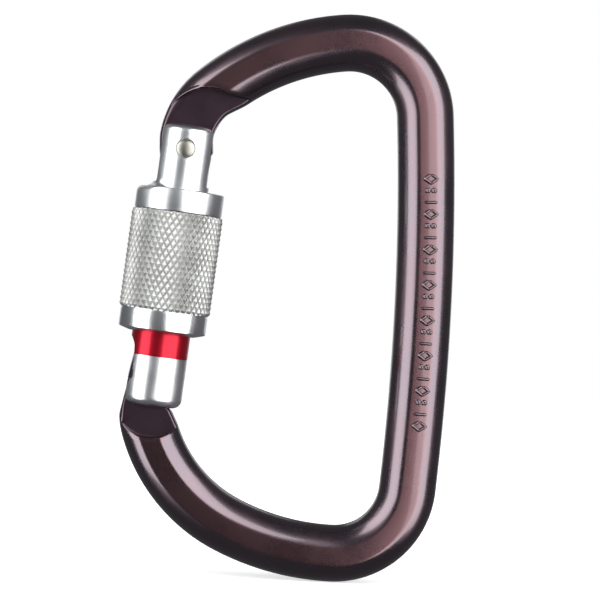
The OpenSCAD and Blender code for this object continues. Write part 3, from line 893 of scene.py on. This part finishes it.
def knurl_finish(looks):
    """The sleeve: bright turned aluminium, and a duller knurl whose colour is painted shade, darkest
    in its grooves and lighter on its crests.
    """
    shop = Shop("knurled_aluminium")
    crest = shop.attribute("crest")
    cut = shop.attribute("knurled")
    rings = shop.noise(shop.place(ALONG_GATE, (60.0, 60.0, 5200.0)), 1.0, 2.0, 0.6)
    here = shop.place()
    grain = shop.noise(here, 900.0, 3.0, 0.6)
    wear = shop.ramp(shop.noise(here, 120.0, 4.0, 0.6), 0.35, 0.7)
    # Painted shade: the knurl's colour runs from the dark groove colour to the lighter crest colour,
    # both darker than the plain silver.
    teeth = shop.blend(crest, colour(looks.groove), colour(looks.crest))
    teeth = shop.blend(wear * 0.3, teeth, colour(looks.silver))
    tone = shop.blend(cut, colour(looks.silver), teeth)
    return shop.surface(
        base_color=tone,
        metallic=1.0,
        roughness=0.22 + rings * 0.06 + cut * (0.2 + grain * 0.1),
        normal=shop.bump(grain * cut + rings * 0.3, 0.08, 0.02),
    )


def steel_finish(name, base, rough):
    """Steel of the small parts, with a mottled surface."""
    shop = Shop(name)
    here = shop.place()
    mottle = shop.noise(here, 900.0, 4.0, 0.6)
    dirt = shop.ramp(shop.noise(here, 420.0, 3.0, 0.6), 0.5, 0.72)
    tone = shop.blend(dirt * 0.4, colour(base), (0.3, 0.28, 0.25, 1.0))
    return shop.surface(
        base_color=tone,
        metallic=1.0,
        roughness=rough + mottle * 0.15,
        normal=shop.bump(mottle, 0.25, 0.03),
    )


def red_finish(looks):
    """Red anodised lacquer under a clear gloss, a little uneven."""
    shop = Shop("red_lacquer")
    here = shop.place(ALONG_GATE, (80.0, 80.0, 900.0))
    drift = shop.noise(here, 1.0, 3.0, 0.5)
    tone = shop.blend(drift, colour(looks.red), colour(looks.red_deep))
    return shop.surface(
        base_color=tone,
        metallic=0.85,
        roughness=0.28 + drift * 0.08,
        coat_weight=0.2,
        coat_roughness=0.08,
        normal=shop.bump(drift, 0.1, 0.02),
    )


def paint(piece, material):
    """Gives a piece one material."""
    piece.data.materials.clear()
    piece.data.materials.append(material)
    return piece


# ---- settings ----


def shade(title, text, default):
    """A colour setting."""
    return FloatVectorProperty(
        name=title, description=text, default=default, subtype="COLOR", min=0.0, max=1.0
    )


class CarabinerLooks(bpy.types.PropertyGroup):
    """Colours of the finishes."""

    bronze: shade("Bronze", "Colour of the frame's film", (0.135, 0.106, 0.124))
    bronze_warm: shade("Warm bronze", "Colour of the film's warmer clouds", (0.172, 0.118, 0.132))
    bronze_flat: shade("Flat bronze", "Colour of the film on the flats", (0.16, 0.084, 0.092))
    # Cut bronze also colours the raised marks' feet, where it is painted shade.
    bronze_cut_and_shade: shade("Cut bronze", "Colour of the film in the pockets", (0.075, 0.046, 0.062))
    silver: shade("Silver", "Colour of the gate and the sleeve", (0.84, 0.87, 0.87))
    # The crest and groove colours are painted shade on the knurl: darker than the silver, most in the
    # grooves.
    crest: shade("Crest", "Colour of the knurl's crests", (0.62, 0.62, 0.6))
    groove: shade("Groove", "Colour of the knurl's grooves", (0.26, 0.26, 0.25))
    rivet: shade("Rivet", "Colour of the rivet", (0.36, 0.35, 0.31))
    spring: shade("Spring", "Colour of the spring, plunger and snap ring", (0.50, 0.50, 0.51))
    red: shade("Red", "Colour of the warning band", (0.5, 0.007, 0.022))
    red_deep: shade("Deep red", "Darker red of the warning band", (0.36, 0.004, 0.02))


class CarabinerSizes(bpy.types.PropertyGroup):
    """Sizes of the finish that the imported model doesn't set."""

    knurl_teeth: IntProperty(
        name="Knurl teeth", description="Diamonds round the sleeve", default=43, min=24, max=120
    )
    knurl_depth: FloatProperty(
        name="Knurl depth", description="Depth of the grooves", default=0.00034, unit="LENGTH"
    )
    edge: FloatProperty(
        name="Edge", description="Rounding of the gate's cut edges", default=0.00012, unit="LENGTH"
    )


class CarabinerStage(bpy.types.PropertyGroup):
    """The camera and the lights."""

    lens: FloatProperty(name="Lens", description="Focal length, millimetres", default=200.0)
    span: FloatProperty(
        name="Span", description="Width of the view at the object", default=0.1181, unit="LENGTH"
    )
    roll: FloatProperty(
        name="Roll",
        description="Turn of the camera about its view",
        default=math.radians(-2.8),
        unit="ROTATION",
    )
    right_light: FloatProperty(name="Right light", description="Brightness", default=3.5)
    left_light: FloatProperty(name="Left light", description="Brightness", default=3.7)
    back_light: FloatProperty(name="Back lights", description="Brightness", default=0.7)


# ---- operators ----


class CARABINER_OT_frame(bpy.types.Operator):
    """Makes the bronze frame as one shell, with its pockets, nose and tangs."""

    bl_idname = "carabiner.make_frame"
    bl_label = "Frame"

    def execute(self, context):
        points, across = bar_shell()
        faces = capped_grid(points)
        shell = make_piece("frame_shell", points, faces, "frame", 30.0)
        outward(shell)
        height = np.abs(points[..., 1])
        below = BAR_HALF * np.sqrt(np.clip(1.0 - (across / BAR_HALF) ** 2, 0.0, 1.0)) - height
        keep(shell, "pocket", pocket_share(points))
        keep(shell, "across", across)
        keep(shell, "flat", smooth(below, 0.005, 0.05) * smooth(height, 4.6, 4.95))
        bronze = bronze_finish(context.scene.carabiner_looks)
        paint(shell, bronze)
        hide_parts("frame")
        cam = cutter(cam_outline(), 0.05 - TANG_HALF, TANG_HALF - 0.05, (0, 1, 2))
        cam.name = cam.data.name = "hinge_cam"
        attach(cam, "frame")
        soften(paint(cam, bronze), 0.1)
        points, faces = merged([stroke_tube(stroke) for stroke in mark_strokes()])
        marks = make_piece("raised_marks", points, faces, "frame", 50.0)
        paint(outward(marks), bronze)
        # Painted shade: the marks' sides, where they meet the face, are kept as pocket so they take
        # the darker pocket colour.
        sides = np.abs(np.sin(full_turn(MARK_SIDES)))
        keep(marks, "pocket", np.tile(1.0 - smooth(sides, 0.1, 0.8), len(points) // MARK_SIDES))
        return {"FINISHED"}


def pocket_share(points):
    """1 on the milled floors near the gate and 0 elsewhere, for each point of the shell: a point
    counts if it stands at the floor's height, or if its whole ring is as thin as the plate."""
    down, _ = gate_coordinates(points[..., [0, 2]])
    near = (down < 60.0) & (down > -16.0) & (points[..., 0] < -5.0)
    height = np.abs(points[..., 1])
    thin = 1.0 - smooth(height, TANG_HALF + 0.02, TANG_HALF + 0.4)
    tallest = height.max(axis=1, keepdims=True)
    ring = 1.0 - smooth(tallest, TANG_HALF + 1.4, FLAT_HALF - 0.1)
    return near * thin * np.maximum(ring, height > TANG_HALF - 0.05)


class CARABINER_OT_gate(bpy.types.Operator):
    """Makes the gate: neck, flange, threaded barrel and keyhole."""

    bl_idname = "carabiner.make_gate"
    bl_label = "Gate"

    def execute(self, context):
        looks, sizes = context.scene.carabiner_looks, context.scene.carabiner_sizes
        radius, down, angles = gate_profile(240)
        points = turned_points(radius, down, angles)
        gate = make_piece("gate_shell", points, capped_grid(points), "gate")
        outward(gate)
        carve(gate, [*hinge_cutters(), room_cutter(), slot_cutter()])
        soften(gate, sizes.edge / MM)
        silver = silver_finish(looks)
        paint(gate, silver)
        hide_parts("gate_body")
        thread_at = FLANGE_END + 0.6
        ridge = thread(
            "gate_thread", "gate", BARREL_R, THREAD_CREST, thread_at, 4.2
        )
        paint(ridge, silver)
        return {"FINISHED"}


class CARABINER_OT_sleeve(bpy.types.Operator):
    """Makes the knurled locking sleeve and the thread inside it."""

    bl_idname = "carabiner.make_sleeve"
    bl_label = "Sleeve"

    def execute(self, context):
        looks, sizes = context.scene.carabiner_looks, context.scene.carabiner_sizes
        teeth, depth = sizes.knurl_teeth, sizes.knurl_depth / MM
        points, faces = sleeve_points(teeth * KNURL_STEPS, teeth, depth)
        sleeve = make_piece("sleeve_shell", points, faces, "sleeve", 25.0)
        outward(sleeve)
        offset = points.reshape(-1, 3) - RIVET
        along = offset @ DOWN
        about = np.hypot(offset @ INWARD, offset @ FRONT)
        keep(sleeve, "knurled", (along > SLEEVE_AT) & (along < KNURL_END) & (about > COLLAR_R))
        keep(sleeve, "crest", np.clip((about - SLEEVE_R + depth) / depth, 0.0, 1.0))
        finish = knurl_finish(looks)
        paint(sleeve, finish)
        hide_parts("locking_sleeve")
        thread_at = SLEEVE_AT + 1.85
        ridge = thread(
            "sleeve_thread", "sleeve", CHAMBER_R, 6.2, thread_at, 3.6
        )
        paint(ridge, finish)
        return {"FINISHED"}


class CARABINER_OT_band(bpy.types.Operator):
    """Makes the red warning band in its groove round the barrel."""

    bl_idname = "carabiner.make_band"
    bl_label = "Warning band"

    def execute(self, context):
        half = (BAND_END - BAND_AT) / 2 - 0.05
        radius = BARREL_R - np.array([BAND_DEPTH, 0.06, 0.005, 0.0])
        from_end = np.array([0.0, 0.0, 0.03, 0.12])
        down = np.concatenate([from_end - half, [0.0], half - from_end[::-1]])
        radius = np.concatenate([radius, [BARREL_R], radius[::-1]])
        points = turned_points(radius, (BAND_AT + BAND_END) / 2 + down, full_turn(144))
        faces = grid_faces(*points.shape[:2], wrap_rows=True)
        band = make_piece("warning_band", points, faces, "gate")
        outward(band)
        carve(band, [room_cutter(0.06)])
        paint(band, red_finish(context.scene.carabiner_looks))
        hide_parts("lock_warning_band")
        return {"FINISHED"}


class CARABINER_OT_small_parts(bpy.types.Operator):
    """Makes the rivet, the plunger, its spring and the snap ring."""

    bl_idname = "carabiner.make_small_parts"
    bl_label = "Small parts"

    def execute(self, context):
        looks = context.scene.carabiner_looks
        paint(rivet_piece(), steel_finish("rivet_steel", looks.rivet, 0.3))
        spring_steel = steel_finish("spring_steel", looks.spring, 0.22)
        for piece in (plunger_piece(), spring_piece(), snap_ring_piece()):
            paint(piece, spring_steel)
        return {"FINISHED"}


def rivet_piece():
    """The rivet as a turned profile along the front axis: dome, rim, shank, rim, dome. The dome's
    height is the neck's radius less its rise * (r/rim)^2.6."""
    r = np.array([0.02, 0.4, 0.75, 1.05, 1.3, 1.5, 1.64, 1.74, RIVET_R, RIVET_R, 1.5])
    lift = NECK_R - RIVET_DOME * (r / RIVET_R) ** 2.6
    lift[-2:] = NECK_R - RIVET_DOME - 0.1
    radius = np.concatenate([r, r[::-1]])[:, None]
    front = np.concatenate([lift, -lift[::-1]])[:, None]
    a = full_turn(64)
    points = on_gate(radius * np.cos(a), radius * np.sin(a), front)
    rivet = make_piece("rivet", points, capped_grid(points), "gate", 40.0)
    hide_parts("hinge_rivet")
    return outward(rivet)


def plunger_piece():
    """The plunger: a round dome, a head, a shoulder and a stem, turned about the axis."""
    a = np.radians(np.linspace(2.0, 90.0, 14))
    radius = np.concatenate([DOME_R * np.sin(a), [DOME_R, 2.0, 1.0, 1.0, 0.9, 0.02]])
    down = [10.15, 10.25, 10.25, 22.3, 22.44, 22.44]
    down = np.concatenate([DOME_AT - DOME_R * np.cos(a), down])
    points = turned_points(radius, down, full_turn(48))
    faces = capped_grid(points)
    plunger = make_piece("plunger_pin", points, faces, "plunger", 40.0)
    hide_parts("gate_plunger")
    return outward(plunger)


def wound_wire(name, body, angle, radius, down, wire, sides):
    """A round wire whose path winds about the gate's axis, at a radius and at distances down."""
    across = on_gate(0.0, np.cos(angle), np.sin(angle)) - RIVET
    path = on_gate(down, 0.0, 0.0) + radius * across
    along = np.broadcast_to(DOWN, path.shape)
    points, faces = tube(path, across, along, wire, sides)
    return outward(make_piece(name, points, faces, body, 60.0))


def spring_piece():
    """The return spring, a coil that climbs evenly."""
    share = np.linspace(0.0, 1.0, int(COIL_TURNS * 28) + 1)
    low, high = 10.25 + COIL_WIRE + 0.05, BORE_END - COIL_WIRE - 0.05
    down = low + (high - low) * share
    angle = 2 * math.pi * COIL_TURNS * share
    spring = wound_wire("return_spring", "gate", angle, COIL_R, down, COIL_WIRE, 12)
    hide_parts("gate_spring")
    tuple(on_gate(BORE_END - 0.05, 0.0, 0.0) * MM)
    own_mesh(spring)
    return spring


def snap_ring_piece():
    """A split wire ring round the barrel."""
    angle = np.radians(np.linspace(0.0, RING_TURN, 118))
    radius, down = BARREL_R + 0.4, np.full(len(angle), RING_AT)
    ring = wound_wire("snap_ring", "snap_ring", angle, radius, down, RING_WIRE, 14)
    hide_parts("sleeve_snap_ring")
    return ring


class CARABINER_OT_stage(bpy.types.Operator):
    """Makes the floor, the lights and the camera."""

    bl_idname = "carabiner.make_stage"
    bl_label = "Stage"

    def execute(self, context):
        stage = context.scene.carabiner_stage
        self.floor()
        for name, (*place, setting) in SOFTBOXES.items():
            self.light(name, *place, getattr(stage, setting))
        self.world()
        self.camera(stage)
        return {"FINISHED"}

    def floor(self):
        """A pale, flat, round floor that glows, least under the object, so no edge shows."""
        low = CAD_BOX[0].z / MM - 0.02
        radius = np.linspace(0.0, 1500.0, 40)[1:, None]
        a = full_turn(96)
        rings = np.broadcast_arrays(radius * np.cos(a), radius * np.sin(a), low)
        points = np.stack(rings, axis=-1)
        faces = grid_faces(len(radius), 96) + [list(range(96))]
        floor = make_piece("studio_floor", points, faces, None)
        shop = Shop("pale_floor")
        paper = shop.noise(shop.place(), 300.0, 3.0, 0.6)
        tone = shop.blend(paper * 0.3, (0.9, 0.9, 0.9, 1.0), (0.85, 0.85, 0.86, 1.0))
        away = shop.ramp(shop.length(shop.place()), 0.06, 0.3)
        glow = shop.blend(away, (0.62, 0.62, 0.62, 1.0), (1.0, 1.0, 1.0, 1.0))
        material = shop.surface(
            base_color=tone, roughness=0.9, emission_color=glow, emission_strength=1.0
        )
        paint(floor, material)
        floor.visible_glossy = False

    def light(self, name, azimuth, elevation, distance, width, height, brightness):
        """A flat softbox that faces the object. Its power is brightness * pi * its area."""
        a, e = math.radians(azimuth), math.radians(elevation)
        away = Vector((math.sin(a) * math.cos(e), -math.cos(a) * math.cos(e), math.sin(e)))
        lamp = bpy.data.lights.new(name, "AREA")
        lamp.shape, lamp.size, lamp.size_y = "RECTANGLE", width, height
        lamp.energy = brightness * math.pi * width * height
        box = bpy.data.objects.new(name, lamp)
        box.location = away * distance
        box.rotation_euler = away.to_track_quat("Z", "Y").to_euler()
        box.visible_camera = False
        bpy.context.scene.collection.objects.link(box)

    def world(self):
        """White to the camera, and a dim grey room to the object."""
        world = bpy.data.worlds.new("studio_room")
        world.use_nodes = True
        tree = world.node_tree
        tree.nodes.clear()
        seen = tree.nodes.new("ShaderNodeBackground")
        seen.inputs["Color"].default_value = (1.0, 1.0, 1.0, 1.0)
        room = tree.nodes.new("ShaderNodeBackground")
        room.inputs["Color"].default_value = (0.115, 0.115, 0.125, 1.0)
        path = tree.nodes.new("ShaderNodeLightPath")
        mix = tree.nodes.new("ShaderNodeMixShader")
        end = tree.nodes.new("ShaderNodeOutputWorld")
        tree.links.new(path.outputs["Is Camera Ray"], mix.inputs[0])
        tree.links.new(room.outputs[0], mix.inputs[1])
        tree.links.new(seen.outputs[0], mix.inputs[2])
        tree.links.new(mix.outputs[0], end.inputs["Surface"])
        bpy.context.scene.world = world

    def camera(self, stage):
        """A long lens that looks along +Y, level with the middle of the object."""
        data = bpy.data.cameras.new("camera")
        data.lens, data.sensor_width = stage.lens, 36.0
        data.clip_start, data.clip_end = 0.01, 20.0
        camera = bpy.data.objects.new("camera", data)
        distance = stage.span * stage.lens / data.sensor_width
        camera.location = (VIEW_MIDDLE[0] * MM, -distance, VIEW_MIDDLE[1] * MM)
        camera.rotation_euler = (math.pi / 2, stage.roll, 0.0)
        bpy.context.scene.collection.objects.link(camera)
        bpy.context.scene.camera = camera
        bpy.context.scene.view_settings.view_transform = "Standard"


class CARABINER_PT_panel(bpy.types.Panel):
    """The carabiner's operators."""

    bl_idname = "CARABINER_PT_panel"
    bl_label = "Carabiner"
    bl_space_type = "VIEW_3D"
    bl_region_type = "UI"
    bl_category = "Carabiner"

    def draw(self, context):
        for operator in OPERATORS:
            self.layout.operator(operator.bl_idname)


OPERATORS = (
    CARABINER_OT_stage,
    CARABINER_OT_frame,
    CARABINER_OT_gate,
    CARABINER_OT_sleeve,
    CARABINER_OT_band,
    CARABINER_OT_small_parts,
)
SETTINGS = {
    "carabiner_looks": CarabinerLooks,
    "carabiner_sizes": CarabinerSizes,
    "carabiner_stage": CarabinerStage,
}


def register():
    for kind in (*SETTINGS.values(), *OPERATORS, CARABINER_PT_panel):
        bpy.utils.register_class(kind)
    for name, kind in SETTINGS.items():
        setattr(bpy.types.Scene, name, PointerProperty(type=kind))


def unregister():
    for name in SETTINGS:
        delattr(bpy.types.Scene, name)
    for kind in (CARABINER_PT_panel, *reversed(OPERATORS), *SETTINGS.values()):
        bpy.utils.unregister_class(kind)


def main():
    register()
    for operator in OPERATORS:
        group, action = operator.bl_idname.split(".")
        getattr(getattr(bpy.ops, group), action)()


if __name__ == "__main__":
    main()
